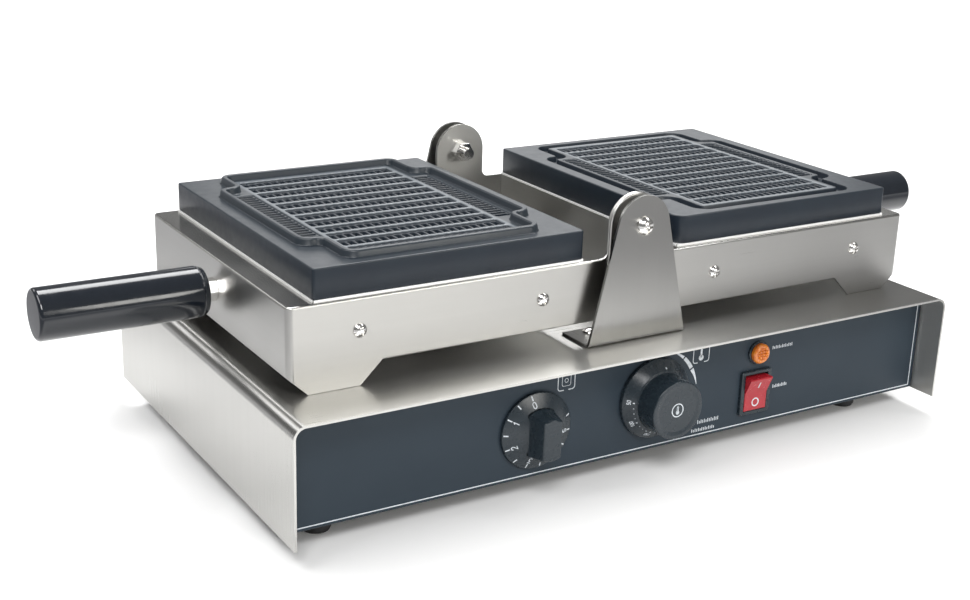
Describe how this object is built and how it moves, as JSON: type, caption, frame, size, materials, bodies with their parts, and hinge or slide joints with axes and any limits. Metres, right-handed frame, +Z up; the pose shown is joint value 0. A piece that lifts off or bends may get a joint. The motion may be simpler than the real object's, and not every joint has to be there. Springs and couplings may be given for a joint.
{
  "type": "waffle maker",
  "caption": "Table-top electric waffle maker whose hinged heated halves open flat like a book over a steel base with timer, thermostat, lamp and switch.",
  "frame": {"origin": "on the standing surface, under the middle of the base", "axes": "+X to the operator's right along the two halves, +Y to the back, +Z up"},
  "size_m": [0.693, 0.306, 0.1817],
  "materials": {
    "brushed_stainless": "brushed stainless sheet with a fine lengthwise grain",
    "plain_steel": "plain mill-finish stainless sheet",
    "bright_fasteners": "bright nickel-plated steel",
    "nonstick_plate": "cast aluminium under a satin blue-grey non-stick coat",
    "dark_panel": "charcoal blue satin printed panel",
    "black_grip": "glossy black phenolic",
    "black_knob": "satin black moulded plastic",
    "control_case": "plain moulded control case",
    "black_rubber": "black rubber",
    "amber_lens": "faceted amber lens",
    "red_rocker": "translucent red rocker",
    "heater_sheath": "heat-tinted element sheath",
    "insulation_wool": "white ceramic wool",
    "copper_bulb": "copper sensing bulb",
    "gland_nylon": "black nylon"
  },
  "bodies": {
    "base": {"base_cover": "brushed_stainless", "front_upright": "brushed_stainless", "rear_upright": "brushed_stainless", "control_panel": "dark_panel", "rear_panel": "plain_steel", "bottom_pan": "plain_steel", "rubber_feet": "black_rubber", "wire_grommets": "black_rubber", "foot_screws": "bright_fasteners", "cover_screws": "bright_fasteners", "upright_screws": "bright_fasteners", "upright_nuts": "bright_fasteners", "pivot_bolts": "bright_fasteners", "pivot_spacers": "bright_fasteners", "pivot_nuts": "bright_fasteners", "switch_housing": "black_knob", "lamp_housing": "black_knob", "timer_body": "control_case", "thermostat_body": "control_case", "terminal_block": "control_case", "lamp_lens": "amber_lens", "cable_gland": "gland_nylon", "gland_cap": "gland_nylon", "gland_locknut": "gland_nylon"},
    "left_half": {"left_housing": "brushed_stainless", "left_inner_wall": "brushed_stainless", "left_bottom_cover": "plain_steel", "left_heat_tray": "plain_steel", "left_insulation": "insulation_wool", "left_wall_screws": "bright_fasteners", "left_tray_screws": "bright_fasteners", "left_plate_seat": "plain_steel", "left_waffle_plate": "nonstick_plate", "left_heater": "heater_sheath", "left_heater_clamps": "plain_steel", "left_handle_rod": "bright_fasteners", "left_handle_nuts": "bright_fasteners", "left_handle_grip": "black_grip"},
    "right_half": {"right_housing": "brushed_stainless", "right_inner_wall": "brushed_stainless", "right_bottom_cover": "plain_steel", "right_heat_tray": "plain_steel", "right_insulation": "insulation_wool", "right_wall_screws": "bright_fasteners", "right_tray_screws": "bright_fasteners", "right_plate_seat": "plain_steel", "right_waffle_plate": "nonstick_plate", "right_heater": "heater_sheath", "right_heater_clamps": "plain_steel", "right_handle_rod": "bright_fasteners", "right_handle_nuts": "bright_fasteners", "right_handle_grip": "black_grip", "thermostat_bulb": "copper_bulb"},
    "timer_control": {"timer_knob": "black_knob", "timer_shaft": "bright_fasteners"},
    "thermostat_control": {"thermostat_knob": "black_knob", "thermostat_shaft": "bright_fasteners"},
    "power_rocker": {"switch_rocker": "red_rocker"}
  },
  "joints": [
    {"name": "left_half_hinge", "type": "hinge", "parent": "base", "child": "left_half", "pos_m": [0, 0, 0.1622], "axis": [0, 1, 0], "range_deg": [0, 180]},
    {"name": "right_half_hinge", "type": "hinge", "parent": "base", "child": "right_half", "pos_m": [0, 0, 0.1622], "axis": [0, -1, 0], "range_deg": [0, 180]},
    {"name": "timer_turn", "type": "hinge", "parent": "base", "child": "timer_control", "pos_m": [-0.0806, -0.13, 0.0446], "axis": [0, 1, 0], "range_deg": [0, 300]},
    {"name": "thermostat_turn", "type": "hinge", "parent": "base", "child": "thermostat_control", "pos_m": [0.01, -0.13, 0.0492], "axis": [0, 1, 0], "range_deg": [0, 270]},
    {"name": "rocker_tilt", "type": "hinge", "parent": "base", "child": "power_rocker", "pos_m": [0.0955, -0.1276, 0.0375], "axis": [-1, 0, 0], "range_deg": [0, 24]}
  ]
}
